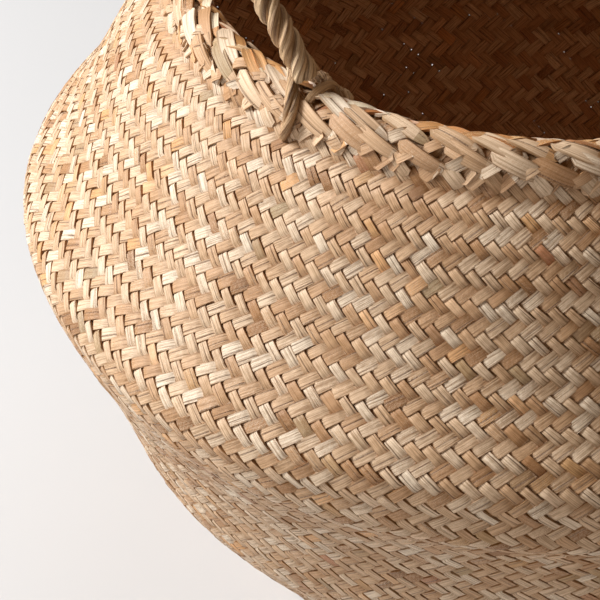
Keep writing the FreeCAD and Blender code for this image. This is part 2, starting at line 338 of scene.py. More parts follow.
def plait_row_tree():
    """A row of leaf-shaped strand ends laid aslant round the rim, each tucked under the next."""
    tree, given = new_tree("plait_row", (
        ("Copies", "Int", 73), ("Phase", "Float", 0.0), ("Start", "Float", 0.3), ("End", "Float", 0.15),
        ("Reach", "Float", 0.012), ("Half Width", "Float", 0.0019), ("Half Thickness", "Float", 0.0004),
        ("Rise", "Float", 0.0008), ("Tuck", "Float", 0.0008), ("Blunt", "Float", 4.0),
        ("Ragged", "Float", 0.15), ("Seed", "Float", 0.0), ("Material", "Material", None)))
    sway, square_start, fullness, bow_middle, cupping = 0.2, 3.0, 1.06, 0.75, 0.002
    outline = add(tree, "GeometryNodeMeshToCurve", (given["Geometry"],))
    length = add(tree, "GeometryNodeCurveLength", (outline,))
    ribbons, (across, through, along), strand = template(tree, given["Copies"], 0.0, 10)
    centred = add(tree, "ShaderNodeMath", (along, 2.0, -1.0), operation="MULTIPLY_ADD")
    which = add(tree, "ShaderNodeCombineXYZ", {"X": strand, "Y": given["Seed"]})
    chance = add(tree, "ShaderNodeTexWhiteNoise", {"Vector": which}, noise_dimensions="3D").outputs["Color"]
    chance = add(tree, "ShaderNodeVectorMath", (chance, (0.5, 0.5, 0.5)), operation="SUBTRACT")
    chance = add(tree, "ShaderNodeVectorMath", {0: chance, "Scale": given["Ragged"]}, operation="SCALE")
    chance = add(tree, "ShaderNodeSeparateXYZ", (chance,)).outputs
    span = add(tree, "ShaderNodeMath", (given["End"], given["Start"]), operation="SUBTRACT")
    start = add(tree, "ShaderNodeMath", (chance[0], sway, given["Start"]), operation="MULTIPLY_ADD")
    factor = add(tree, "ShaderNodeMath", (along, span, start), operation="MULTIPLY_ADD")
    on = add(tree, "GeometryNodeSampleCurve", {"Curves": outline, "Factor": factor}, mode="FACTOR")
    place, uphill = on.outputs["Position"], on.outputs["Tangent"]
    rise = add(tree, "ShaderNodeMath", (length, span), operation="MULTIPLY")
    travel, outward = heading(tree, uphill, rise, given["Reach"])
    # a leaf: full in the middle, nearly square where it starts, drawn in at its tip
    ends = add(tree, "ShaderNodeMath", (centred,), operation="ABSOLUTE")
    first_half = add(tree, "ShaderNodeMath", (centred, 0.0), operation="LESS_THAN")
    squareness = add(tree, "ShaderNodeMath", (first_half, square_start, 1.0), operation="MULTIPLY_ADD")
    squareness = add(tree, "ShaderNodeMath", (squareness, given["Blunt"]), operation="MULTIPLY")
    ends = add(tree, "ShaderNodeMath", (ends, squareness), operation="POWER")
    full = add(tree, "ShaderNodeMath", (fullness, ends), operation="SUBTRACT")
    full = add(tree, "ShaderNodeMath", (full, 0.5), operation="POWER")
    swell = add(tree, "ShaderNodeMath", (chance[1], 1.0), operation="ADD")
    width = add(tree, "ShaderNodeMath", (given["Half Width"], full), operation="MULTIPLY")
    width = add(tree, "ShaderNodeMath", (width, swell), operation="MULTIPLY")
    aside = add(tree, "ShaderNodeMath", (across, width), operation="MULTIPLY")
    thick = add(tree, "ShaderNodeMath", (through, given["Half Thickness"]), operation="MULTIPLY")
    bow = add(tree, "ShaderNodeMath", (centred, centred), operation="MULTIPLY")
    bow = add(tree, "ShaderNodeMath", (bow_middle, bow), operation="SUBTRACT")
    above = add(tree, "ShaderNodeMath", (bow, given["Rise"], thick), operation="MULTIPLY_ADD")
    tucked = add(tree, "ShaderNodeMath", (centred, given["Tuck"]), operation="MULTIPLY")
    above = add(tree, "ShaderNodeMath", (above, tucked), operation="SUBTRACT")
    cup = add(tree, "ShaderNodeMath", (chance[2], cupping), operation="MULTIPLY")
    above = add(tree, "ShaderNodeMath", (cup, across, above), operation="MULTIPLY_ADD")
    radius = add(tree, "ShaderNodeSeparateXYZ", (place,))
    reach = add(tree, "ShaderNodeMath", (given["Reach"], radius), operation="DIVIDE")
    number = add(tree, "ShaderNodeMath", (strand, given["Phase"]), operation="ADD")
    number = add(tree, "ShaderNodeMath", (number, chance[1]), operation="ADD")
    turn = round_basket(tree, number, given["Copies"])
    half_along = add(tree, "ShaderNodeMath", (along, 0.5), operation="SUBTRACT")
    turn = add(tree, "ShaderNodeMath", (half_along, reach, turn), operation="MULTIPLY_ADD")
    laid = lay(tree, ribbons, place, travel, outward, aside, above, turn)
    rows = add(tree, "ShaderNodeMath", (along, 2.0), operation="MULTIPLY")
    end_tree(tree, laid, (across, rows, given["Seed"]), given["Material"])
    return tree


def twisted_rope_tree():
    """Plies that wind round each other along a path."""
    tree, given = new_tree("twisted_rope", (
        ("Plies", "Int", 3), ("Turns", "Float", 4.0), ("Ply Radius", "Float", 0.0024),
        ("Spread", "Float", 0.0026), ("Flat", "Float", 0.85), ("Taper", "Float", 0.0),
        ("Lumps", "Float", 0.15), ("Segments", "Int", 120), ("Seed", "Float", 0.0),
        ("Material", "Material", None)))
    sides, ridges, ridge_wander, ridge_depth, row_length = 26, 5.0, 9.0, 0.08, 3 * MM
    path = add(tree, "GeometryNodeMeshToCurve", (given["Geometry"],))
    ribbons, (across, through, along), strand = template(
        tree, given["Plies"], 0.0, given["Segments"], sides)
    on = add(tree, "GeometryNodeSampleCurve", {"Curves": path, "Factor": along}, mode="FACTOR")
    place, ahead, level = on.outputs["Position"], on.outputs["Tangent"], on.outputs["Normal"]
    share = add(tree, "ShaderNodeMath", (strand, given["Plies"]), operation="DIVIDE")
    wind = add(tree, "ShaderNodeMath", (along, given["Turns"], share), operation="MULTIPLY_ADD")
    wind = add(tree, "ShaderNodeMath", (wind, TAU), operation="MULTIPLY")
    out = add(tree, "ShaderNodeVectorRotate", {"Vector": level, "Axis": ahead, "Angle": wind})
    side = add(tree, "ShaderNodeVectorMath", (ahead, out), operation="CROSS_PRODUCT")
    which = add(tree, "ShaderNodeCombineXYZ", {"X": strand, "Y": along, "Z": given["Seed"]})
    lump = add(tree, "ShaderNodeVectorMath", (which, (3.7, 21.0, 5.3)), operation="MULTIPLY")
    lump = add(tree, "ShaderNodeTexNoise", {"Vector": lump, "Scale": 1.0, "Detail": 1.0})
    lump = add(tree, "ShaderNodeMath", (lump, -0.5), operation="ADD")
    lump = add(tree, "ShaderNodeMath", (lump, given["Lumps"], 1.0), operation="MULTIPLY_ADD")
    centred = add(tree, "ShaderNodeMath", (along, 2.0, -1.0), operation="MULTIPLY_ADD")
    ends = add(tree, "ShaderNodeMath", (centred,), operation="ABSOLUTE")
    ends = add(tree, "ShaderNodeMath", (ends, 6.0), operation="POWER")
    taper = add(tree, "ShaderNodeMath", (ends, given["Taper"]), operation="MULTIPLY")
    taper = add(tree, "ShaderNodeMath", (1.0, taper), operation="SUBTRACT")
    size = add(tree, "ShaderNodeMath", (given["Ply Radius"], lump), operation="MULTIPLY")
    size = add(tree, "ShaderNodeMath", (size, taper), operation="MULTIPLY")
    # a ply is a few folded strands: their edges run along it as ridges
    girth = add(tree, "ShaderNodeMath", (through, across), operation="ARCTAN2")
    ridge = add(tree, "ShaderNodeMath", (lump, ridge_wander), operation="MULTIPLY")
    ridge = add(tree, "ShaderNodeMath", (girth, ridges, ridge), operation="MULTIPLY_ADD")
    ridge = add(tree, "ShaderNodeMath", (ridge,), operation="SINE")
    ridge = add(tree, "ShaderNodeMath", (ridge, ridge_depth, 1.0), operation="MULTIPLY_ADD")
    size = add(tree, "ShaderNodeMath", (size, ridge), operation="MULTIPLY")
    girth = add(tree, "ShaderNodeMath", (girth, math.pi), operation="DIVIDE")
    flat = add(tree, "ShaderNodeMath", (size, given["Flat"]), operation="MULTIPLY")
    away = add(tree, "ShaderNodeMath", (through, flat, given["Spread"]), operation="MULTIPLY_ADD")
    aside = add(tree, "ShaderNodeMath", (across, size), operation="MULTIPLY")
    there = moved(tree, place, out, away, side, aside)
    laid = add(tree, "GeometryNodeSetPosition", {"Geometry": ribbons, "Position": there})
    span = add(tree, "GeometryNodeCurveLength", (path,))
    span = add(tree, "ShaderNodeMath", (span, along), operation="MULTIPLY")
    rows = add(tree, "ShaderNodeMath", (span, 1 / row_length), operation="MULTIPLY")
    end_tree(tree, laid, (girth, rows, given["Seed"]), given["Material"])
    return tree


# --- shape ----------------------------------------------------------------------------------
def outer_face(nodes, low, high, count):
    """(radius, height) points up the outer face of some CAD bands, read on their +X side."""
    walls = []
    for node in nodes:
        mesh = frame["nodes"][node].data
        walls.append(BVHTree.FromPolygons([v.co for v in mesh.vertices],
                                          [p.vertices for p in mesh.polygons]))
    points = []
    for i in range(count):
        z = low + (high - low) * i / (count - 1)
        hits = [wall.ray_cast(Vector((1, MM / 10, z)), Vector((-1, 0, 0)))[0] for wall in walls]
        points.append((max(hit.x for hit in hits if hit), z))
    return points


def inset(points, depth):
    """The same line moved inwards, square to itself."""
    p = np.array(points)
    along = np.gradient(p, axis=0)
    along /= np.linalg.norm(along, axis=1)[:, None]
    return p + depth * np.stack([-along[:, 1], along[:, 0]], axis=1)


def wall_lines():
    """The middle lines of the lower and the upper wall, which share the fold's point."""
    low = outer_face(("lower_wall", "waist_wall"), BASE_T / 2, FOLD_Z - 0.1 * MM, 46)
    high = outer_face(("belly_wall", "neck_wall"), FOLD_Z + 0.1 * MM, NECK_Z - 0.1 * MM, 46)
    line = inset(low + high, WALL_T / 2)
    lower = [(r, 0, z) for r, z in line[:len(low)]]
    upper = [(r, 0, z) for r, z in line[len(low) - 1:]]
    # the strands run on up into the plait
    upper += [tuple(on_rim(2.6 * MM, -5 * MM)), tuple(on_rim(2.7 * MM, -2.2 * MM))]
    return lower, upper


def on_rim(out, up, degrees=0.0):
    """A place by the rim's middle: out across the plait, up along the neck's slope, round the mouth."""
    radius = RIM_R + out * math.cos(RIM_TILT) - up * math.sin(RIM_TILT)
    turn = math.radians(degrees)
    return Vector((radius * math.cos(turn), radius * math.sin(turn),
                   RIM_Z + out * math.sin(RIM_TILT) + up * math.cos(RIM_TILT)))


def rim_line(depth=0.0, steps=60):
    """The rim's section, from its underside up the outer face, over the top and down the inside."""
    points = []
    for i in range(steps + 1):
        turn = TAU * (i / steps - 0.25)
        points.append(on_rim((RIM_THICK - depth) * math.cos(turn), (RIM_HIGH - depth) * math.sin(turn)))
    return points


def smooth(points, count=40):
    """Evenly counted points on a smooth curve that passes through the given ones."""
    p = np.array([tuple(q) for q in points])
    p = np.vstack([2 * p[0] - p[1], p, 2 * p[-1] - p[-2]])
    line = []
    for t in np.linspace(0, len(p) - 3 - 1e-9, count):
        i, f = int(t), t % 1
        a, b, c, d = p[i:i + 4]
        line.append(tuple(b + f * (c - a) / 2 + f ** 2 * (a - 2.5 * b + 2 * c - d / 2)
                          + f ** 3 * (1.5 * b - 1.5 * c + d / 2 - a / 2)))
    return line


def hinge_place(hand):
    """The middle of a handle's hinge."""
    return Vector(next(j["pos_m"] for j in frame["joints"] if j["name"] == f"{hand}_handle_swing"))


def arch(hand, steps=59, run_on=0.06):
    """The middle line of a handle's rope: an arc that leans outwards, and runs on past both feet."""
    hinge = hinge_place(hand)
    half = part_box(f"{hand}_handle_ply_1")[1].y - PLY_R * math.cos(ARCH_SLOPE)
    radius = (half ** 2 + ARCH_RISE ** 2) / (2 * ARCH_RISE)
    end = math.asin(half / radius) + run_on
    lean = math.copysign(REST_LEAN, hinge.x)
    points = []
    for i in range(steps + 1):
        turn = end * (2 * i / steps - 1)
        up = ARCH_RISE - radius + radius * math.cos(turn)
        inwards = math.copysign(FOOT_IN * abs(turn / end) ** 2, hinge.x)
        points.append((hinge.x - inwards + up * math.sin(lean), radius * math.sin(turn),
                       hinge.z + up * math.cos(lean)))
    return points


def settle(piece):
    """The unevenness of a thing made by hand: the same gentle swells wherever a piece lies."""
    mesh = piece.data
    co = np.empty(len(mesh.vertices) * 3, np.float32)
    mesh.vertices.foreach_get("co", co)
    co = co.reshape(-1, 3)
    x, y, z = co.T.astype(float)
    angle = np.arctan2(y, x)
    height = np.clip(z / NECK_Z, 0, 1)
    swell = 0.9 * np.sin(3 * angle + 1.0 + 4 * height) + 0.7 * np.sin(5 * angle - 7 * height)
    swell += 0.5 * np.sin(8 * angle + 11 * height + 2)
    factor = 1 + swell * MM * np.sin(math.pi * height) / SWELL_R
    # on one side the wall rolls further out just above the fold; the wall below it is left alone
    roll = np.exp(-((z - FOLD_Z - ROLL_UP) / ROLL_HIGH) ** 2) * (z > FOLD_Z - 2 * MM)
    factor += roll * np.maximum(np.cos(angle - ROLL_TURN), 0) ** 2 * ROLL_OUT / ROLL_R
    co[:, 0] = x * factor
    co[:, 1] = y * factor
    co[:, 2] = np.maximum(z, 0.05 * MM)
    mesh.vertices.foreach_set("co", co.ravel())
    mesh.update()
    return piece


# --- materials ------------------------------------------------------------------------------
def srgb(text):
    """A linear colour from an sRGB hex value."""
    parts = [int(text[i:i + 2], 16) / 255 for i in (1, 3, 5)]
    return tuple(c / 12.92 if c <= 0.04045 else ((c + 0.055) / 1.055) ** 2.4 for c in parts) + (1.0,)


def new_material(name, roughness):
    """A node material, its tree and its shader."""
    material = bpy.data.materials.new(name)
    material.use_nodes = True
    shader = material.node_tree.nodes["Principled BSDF"]
    shader.inputs["Roughness"].default_value = roughness
    return material, material.node_tree, shader


def ramp(tree, factor, stops):
    """A colour ramp through (place, hex) stops."""
    node = add(tree, "ShaderNodeValToRGB", (factor,))
    while len(node.color_ramp.elements) < len(stops):
        node.color_ramp.elements.new(1.0)
    for element, (place, colour) in zip(node.color_ramp.elements, stops):
        element.position = place
        element.color = srgb(colour)
    return node


# inside is the share of painted shade laid on faces turned towards the basket's axis
def plant_material(name, stops, roughness, fibre, vein_and_edge_shade, cell=2.0, relief=0.6, across_scale=5.0,
                   inside=0.0):
    """Dried, flattened seagrass: matt straw with lengthwise fibres, each visible stretch its own tone.

    It reads the strand's own coordinates: across it, along it in rows, and the strand's number.
    """
    own_share = 0.62
    material, tree, shader = new_material(name, roughness)
    run = add(tree, "ShaderNodeAttribute", attribute_name="run").outputs["Vector"]
    strand = add(tree, "ShaderNodeAttribute", attribute_name="strand").outputs["Fac"]
    across, row, family = add(tree, "ShaderNodeSeparateXYZ", (run,)).outputs
    # one tone for the strand, one for each stretch that shows
    stretch = add(tree, "ShaderNodeMath", (row, 0.5), operation="ADD")
    stretch = add(tree, "ShaderNodeMath", (stretch, cell), operation="DIVIDE")
    stretch = add(tree, "ShaderNodeMath", (stretch,), operation="FLOOR")
    which = add(tree, "ShaderNodeCombineXYZ", (strand, stretch, family))
    own = add(tree, "ShaderNodeTexWhiteNoise", (which,), noise_dimensions="3D")
    whole = add(tree, "ShaderNodeCombineXYZ", (strand, family))
    whole = add(tree, "ShaderNodeTexWhiteNoise", (whole,), noise_dimensions="3D")
    tone = add(tree, "ShaderNodeMath", (own.outputs["Value"], own_share), operation="MULTIPLY")
    tone = add(tree, "ShaderNodeMath", (whole.outputs["Value"], 1 - own_share, tone),
               operation="MULTIPLY_ADD")
    colour = ramp(tree, tone, stops)
    # fibres run along the strand, one to three of them to the millimetre
    shift = add(tree, "ShaderNodeMath", (strand, 13.7), operation="MULTIPLY")
    shift = add(tree, "ShaderNodeCombineXYZ", {"Z": shift})
    fine = add(tree, "ShaderNodeVectorMath", (run, (across_scale, 0.35, 1.0)), operation="MULTIPLY")
    fine = add(tree, "ShaderNodeVectorMath", (fine, shift), operation="ADD")
    fine = add(tree, "ShaderNodeTexNoise", {"Vector": fine, "Scale": 1.0, "Detail": 4.0, "Roughness": 0.65})
    dark = add(tree, "ShaderNodeMapRange", {"Value": fine, "From Min": 0.36, "From Max": 0.56,
               "To Min": fibre, "To Max": 0.0})
    streaked = add(tree, "ShaderNodeMix", {"Factor": dark, 6: colour, 7: srgb(vein_and_edge_shade)}, data_type="RGBA")
    # some stretches are split or creased along their length
    chance = add(tree, "ShaderNodeSeparateXYZ", (own.outputs["Color"],)).outputs
    where = add(tree, "ShaderNodeMath", (chance[1], 3.2, -1.6), operation="MULTIPLY_ADD")
    bend = add(tree, "ShaderNodeMath", (fine, 0.5, -0.25), operation="MULTIPLY_ADD")
    where = add(tree, "ShaderNodeMath", (where, bend), operation="ADD")
    split = add(tree, "ShaderNodeMath", (across, where), operation="SUBTRACT")
    split = add(tree, "ShaderNodeMath", (split,), operation="ABSOLUTE")
    split = add(tree, "ShaderNodeMapRange", {"Value": split, "From Min": 0.02, "From Max": 0.14,
                "To Min": 0.8, "To Max": 0.0})
    torn = add(tree, "ShaderNodeMix", {"Factor": split, 6: streaked.outputs[2], 7: srgb("#5A3516")},
               data_type="RGBA")
    # painted shade and dirt: the edges are darkened towards the vein colour where they turn under, partly
    # the shade in the gaps between strands and partly dirt
    edge = add(tree, "ShaderNodeMath", (across,), operation="ABSOLUTE")
    edge = add(tree, "ShaderNodeMapRange", {"Value": edge, "From Min": 0.8, "From Max": 1.0,
               "To Min": 0.0, "To Max": 0.45})
    with_painted_shade = add(tree, "ShaderNodeMix", {"Factor": edge, 6: torn.outputs[2], 7: srgb(vein_and_edge_shade)},
                data_type="RGBA")
    # painted shade: faces turned towards the basket's axis are darkened and warmed by the share inside,
    # standing in for the shade within the basket's hollow
    here = add(tree, "ShaderNodeTexCoord").outputs
    out = add(tree, "ShaderNodeVectorMath", (here["Object"], (1, 1, 0)), operation="MULTIPLY")
    out = add(tree, "ShaderNodeVectorMath", (out,), operation="NORMALIZE")
    out = add(tree, "ShaderNodeVectorMath", (out, here["Normal"]), operation="DOT_PRODUCT").outputs["Value"]
    painted_inner_shade = add(tree, "ShaderNodeMapRange", {"Value": out, "From Min": -0.4, "From Max": 0.0,
               "To Min": inside, "To Max": 0.0})
    with_painted_shade = add(tree, "ShaderNodeMix", {"Factor": painted_inner_shade, 6: with_painted_shade.outputs[2], 7: srgb("#E0AE7C")},
                data_type="RGBA", blend_type="MULTIPLY")
    height = add(tree, "ShaderNodeMath", (split, 0.8), operation="MULTIPLY")
    height = add(tree, "ShaderNodeMath", (fine, height), operation="SUBTRACT")
    bump = add(tree, "ShaderNodeBump", {"Height": height, "Strength": relief, "Distance": 0.4 * MM})
    tree.links.new(with_painted_shade.outputs[2], shader.inputs["Base Color"])
    tree.links.new(bump.outputs[0], shader.inputs["Normal"])
    shader.inputs["Specular IOR Level"].default_value = 0.5
    return material


def bundle_material(name):
    """Seagrass laid side by side in a bundle: thin stalks that run round the mouth, with painted shade in
    the gaps between them.
    """
    material, tree, shader = new_material(name, 0.7)
    place = add(tree, "ShaderNodeTexCoord").outputs["Object"]
    x, y, z = add(tree, "ShaderNodeSeparateXYZ", (place,)).outputs
    flat = add(tree, "ShaderNodeCombineXYZ", (x, y))
    away = add(tree, "ShaderNodeVectorMath", (flat,), operation="LENGTH").outputs["Value"]
    round_it = add(tree, "ShaderNodeMath", (y, x), operation="ARCTAN2")
    round_it = add(tree, "ShaderNodeMath", (round_it, 9.0), operation="MULTIPLY")
    # stalks about a millimetre thick
    section = add(tree, "ShaderNodeCombineXYZ", (away, z))
    section = add(tree, "ShaderNodeVectorMath", {0: section, "Scale": 1 / MM}, operation="SCALE")
    section = add(tree, "ShaderNodeSeparateXYZ", (section,)).outputs
    stalk = add(tree, "ShaderNodeCombineXYZ", (section[0], section[1], round_it))
    stalk = add(tree, "ShaderNodeTexNoise", {"Vector": stalk, "Scale": 1.0, "Detail": 3.0})
    # the ramp's dark end is painted shade in the gaps between the stalks
    colour = ramp(tree, stalk, ((0.3, "#4A2812"), (0.5, "#A2652F"), (0.7, "#D2A068")))
    bump = add(tree, "ShaderNodeBump", {"Height": stalk, "Strength": 0.8, "Distance": 0.5 * MM})
    tree.links.new(colour.outputs[0], shader.inputs["Base Color"])
    tree.links.new(bump.outputs[0], shader.inputs["Normal"])
    return material


WALL_TONES = ((0.0, "#7E532C"), (0.1, "#A7774A"), (0.2, "#BD9066"), (0.4, "#CFA982"), (0.6, "#DDC09F"),
              (0.78, "#EBD9C0"), (0.84, "#DFA467"), (0.9, "#A9926E"), (1.0, "#B4724A"))
EDGE_TONES = ((0.0, "#B5733A"), (0.45, "#D9A566"), (0.6, "#F0DDBB"), (1.0, "#F6EBD3"))
PITH_TONES = ((0.0, "#7A4420"), (0.5, "#B06A30"), (1.0, "#D08F50"))
ROPE_TONES = ((0.0, "#A07A50"), (0.3, "#C59E72"), (0.6, "#DDBC92"), (1.0, "#F0DAB6"))


def materials():
    """The finishes, made once and kept by name."""
    made = {}
    # seagrass: split, dried and pressed flat, so matt with a faint waxy gloss
    # inside=0.42 paints shade on the wall strands' inner faces
    made["wall"] = plant_material("dried_seagrass_strand", WALL_TONES, 0.56, 0.7, "#80551F", inside=0.42)
    made["plait"] = plant_material("plaited_seagrass", WALL_TONES, 0.6, 0.55, "#80551F")
    # the twisted edge shows bright outer skin and orange pith by turns
    made["edge"] = plant_material("seagrass_edge_cord", EDGE_TONES, 0.55, 0.4, "#8A4E20")
    # the pith shows where the skin is split away: orange-brown and matt
    made["pith"] = plant_material("seagrass_pith", PITH_TONES, 0.7, 0.5, "#5A2F12")
    # the bundle inside the rim: whole stalks side by side
    made["bundle"] = bundle_material("seagrass_stalk_bundle")
    # rope twisted from the same strands: rounder and plainer in tone, with deeper creases
    made["rope"] = plant_material("twisted_seagrass_rope", ROPE_TONES, 0.62, 0.85, "#6B4524", cell=3.0,
                                  relief=1.0, across_scale=9.0)
    return made


# --- settings -------------------------------------------------------------------------------
class WeaveSettings(bpy.types.PropertyGroup):
    strands: bpy.props.IntProperty(name="Strands", description="Strands in each direction round the wall",
                                   default=185, min=12)
    upper_rows: bpy.props.FloatProperty(name="Upper rows", description="Crossings up the wall over the fold",
                                        default=57.0)
    lower_rows: bpy.props.FloatProperty(name="Lower rows", description="Crossings from the base to the fold",
                                        default=62.0)
    cover: bpy.props.FloatProperty(name="Cover", description="Strand width as a share of the room for it",
                                   default=0.96, subtype="FACTOR", min=0.5, max=1.2)
    half_thickness: bpy.props.FloatProperty(name="Half thickness", description="Half a strand's thickness",
                                            default=0.42 * MM, unit="LENGTH", precision=5)
    lift: bpy.props.FloatProperty(name="Lift", description="How far a strand rises over the wall's middle",
                                  default=0.52 * MM, unit="LENGTH", precision=5)
    wander: bpy.props.FloatProperty(name="Wander", description="How far a strand strays sideways",
                                    default=1.2 * MM, unit="LENGTH", precision=5)
    curl: bpy.props.FloatProperty(name="Curl", description="How far a strand tips and lifts at random",
                                  default=0.5 * MM, unit="LENGTH", precision=5)
    mat_pitch: bpy.props.FloatProperty(name="Mat pitch", description="Strand spacing in the base mat",
                                       default=3.5 * MM, unit="LENGTH", precision=5)


class RimSettings(bpy.types.PropertyGroup):
    leaves: bpy.props.IntProperty(name="Leaves", description="Strand bundles in each row of the plait",
                                  default=62, min=8)
    half_width: bpy.props.FloatProperty(name="Half width", description="Half the width of a leaf",
                                        default=2.0 * MM, unit="LENGTH", precision=5)


class HandleSettings(bpy.types.PropertyGroup):
    turns: bpy.props.FloatProperty(name="Turns", description="Turns of the plies from foot to foot",
                                   default=7.5)
    ply_radius: bpy.props.FloatProperty(name="Ply radius", description="Radius of each of the three plies",
                                        default=2.1 * MM, unit="LENGTH", precision=5)
    spread: bpy.props.FloatProperty(name="Spread", description="From the rope's middle to a ply's middle",
                                    default=1.95 * MM, unit="LENGTH", precision=5)


class StageSettings(bpy.types.PropertyGroup):
    distance: bpy.props.FloatProperty(name="Distance", description="Camera to the middle of the fold",
                                      default=0.8287, unit="LENGTH")
    azimuth: bpy.props.FloatProperty(name="Azimuth", description="Camera's turn round the basket",
                                     default=math.radians(-22.5), subtype="ANGLE")
    elevation: bpy.props.FloatProperty(name="Elevation", description="Camera's height over the horizon",
                                       default=math.radians(34.72), subtype="ANGLE")
    aim: bpy.props.FloatVectorProperty(name="Aim", description="Pitch, yaw and roll away from that middle",
                                       default=(math.radians(-1.59), math.radians(5.07), math.radians(3.52)),
                                       subtype="EULER")
    lens: bpy.props.FloatProperty(name="Lens", description="Focal length in millimetres on a 36 mm sensor",
                                  default=156.7)
    floor: bpy.props.FloatVectorProperty(name="Floor", description="Colour of the floor", subtype="COLOR",
                                         size=4, default=srgb("#CDCDCD"))
    floor_size: bpy.props.FloatProperty(name="Floor size", description="Length of the floor's side",
                                        default=8.0, unit="LENGTH")
    room: bpy.props.FloatVectorProperty(name="Room", description="Colour of the light from all round",
                                        subtype="COLOR", size=4, default=srgb("#FFD09C"))
    room_strength: bpy.props.FloatProperty(name="Room strength", description="Its strength", default=0.16)
    daylight: bpy.props.FloatVectorProperty(name="Daylight", description="Colour of the soft lights",
                                            subtype="COLOR", default=(0.94, 0.97, 1.0))


# --- operators ------------------------------------------------------------------------------
class BASKET_OT_walls(bpy.types.Operator):
    """Weaves the lower and the upper wall, strand by strand"""
    bl_idname = "basket.walls"
    bl_label = "Weave Walls"

    def execute(self, context):
        s = context.scene.basket_weave
        tree = woven_strands_tree()
        finish = FINISHES["wall"]
        half = s.strands // 2
        panels = ((0, half), (half, s.strands - half))
        lower, upper = wall_lines()
        # both halves count to the same row at the fold, so that their strands meet there in step
        fold_row = -0.25
        halves = (
            ("lower_half", ("lower_wall", "waist_wall"), lower, fold_row - s.lower_rows, s.lower_rows),
            ("upper_half", ("belly_wall", "neck_wall"), upper, fold_row, s.upper_rows))
        families = (("rising_right", 1.0, 1.1 * s.cover), ("rising_left", -1.0, 0.97 * s.cover))
        for half_name, nodes, line, first_row, rows in halves:
            for family, lean, cover in families:
                for part, (first, copies) in enumerate(panels):
                    piece = grow(f"{half_name}_{family}_{part + 1}", tree, line, {
                        "Strands": s.strands, "First": first, "Copies": copies, "Rows": rows,
                        "First Row": first_row, "Lean": lean, "Cover": cover,
                        "Half Thickness": s.half_thickness, "Lift": s.lift, "Wander": s.wander,
                        "Curl": s.curl, "Segments": int(rows * 2), "Material": finish})
                    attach(settle(piece), "basket")
                    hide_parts(*nodes)
        return {"FINISHED"}


class BASKET_OT_base(bpy.types.Operator):
    """Weaves the flat mat that the basket stands on"""
    bl_idname = "basket.base"
    bl_label = "Weave Base"

    def execute(self, context):
        s = context.scene.basket_weave
        tree = woven_mat_tree()
        for lean, family in ((1.0, "lengthwise"), (-1.0, "crosswise")):
            piece = grow(f"woven_base_{family}", tree, [(0, 0, 0), (0, 0, MM)], {
                "Copies": int(2 * BASE_R / s.mat_pitch) + 1, "Pitch": s.mat_pitch,
                "Radius": BASE_R + MAT_UNDER, "Lean": lean, "Cover": s.cover,
                "Half Thickness": s.half_thickness, "Lift": s.lift, "Height": BASE_T / 2,
                "Material": FINISHES["wall"]})
            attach(settle(piece), "basket")
            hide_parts("woven_base")
        return {"FINISHED"}


class BASKET_OT_rim(bpy.types.Operator):
    """Plaits the rim: leaves, ties, twisted edge and the folded ends under it"""
    bl_idname = "basket.rim"
    bl_label = "Plait Rim"

    def execute(self, context):
        s = context.scene.basket_rim
        tree = plait_row_tree()
        half_thickness = 0.4 * MM
        rim, under = rim_line(), rim_line(1.1 * MM)
        neck = [on_rim(out * MM, up * MM) for out, up in ((3.3, -12), (3.4, -8), (3.8, -4), (4.6, -1))]
        count, wide = s.leaves, s.half_width
        # name, line, copies, phase, start and end along the line, reach round the mouth (mm),
        # half width, rise and tuck (mm), blunt, ragged, finish
        rows = (
            ("winding", under, 3 * count, 0.0, 0.02, 0.98, 20, wide, 0.0, 0.0, 20, 0.2, "plait"),
            ("leaves_low", rim, count, 0.0, 0.32, 0.165, 15.5, 1.1 * wide, 0.9, 0.5, 2.4, 0.4, "plait"),
            ("leaves_high", rim, count, 0.5, 0.45, 0.30, 15.5, 1.1 * wide, 0.9, 0.5, 2.4, 0.4, "plait"),
            ("ties_low", rim, count, 0.62, 0.13, 0.24, 6, 0.75 * wide, 0.9, 0.0, 12, 0.5, "plait"),
            ("ties_high", rim, count, 0.12, 0.28, 0.37, 5.5, 0.65 * wide, 0.8, 0.0, 12, 0.5, "plait"),
            ("inner_leaves_high", rim, count, 0.2, 0.56, 0.72, 16, wide, 0.5, 0.7, 3, 0.4, "plait"),
            ("inner_leaves_low", rim, count, 0.7, 0.70, 0.86, 16, wide, 0.5, 0.7, 3, 0.4, "plait"),
            ("edge_bright", rim, count, 0.1, 0.42, 0.54, 13, 0.65 * wide, 0.9, 0.3, 4, 0.4, "edge"),
            ("edge_second", rim, count, 0.6, 0.53, 0.41, 13, 0.7 * wide, 0.9, 0.3, 4, 0.5, "edge"),
            ("edge_pith", rim, count, 0.4, 0.45, 0.53, 9, 0.5 * wide, 0.6, 0.1, 4, 0.5, "pith"),
            ("folded_right", neck, count, 0.0, 0.5, 0.97, 5, 0.95 * wide, 0.4, -0.4, 12, 0.6, "plait"),
            ("folded_left", neck, count, 0.55, 0.48, 0.97, -5, 0.95 * wide, 0.7, -0.4, 12, 0.6, "plait"),
            ("folded_between", neck, count, 0.3, 0.55, 0.97, 3, 0.8 * wide, 0.3, -0.4, 12, 0.8, "plait"),
        )
        for seed, row in enumerate(rows):
            name, line, copies, phase, start, end, reach, half, rise, tuck, blunt, ragged, finish = row
            piece = grow(f"rim_{name}", tree, line, {
                "Copies": copies, "Phase": phase, "Start": start, "End": end, "Reach": reach * MM,
                "Half Width": half, "Half Thickness": half_thickness, "Rise": rise * MM,
                "Tuck": tuck * MM, "Blunt": float(blunt), "Ragged": ragged, "Seed": float(seed),
                "Material": FINISHES[finish]})
            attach(settle(piece), "basket")
            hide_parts("rim_edge_cord" if "edge" in name else
                        "rim_turned_ends" if "folded" in name else "rim_braid")
        return {"FINISHED"}


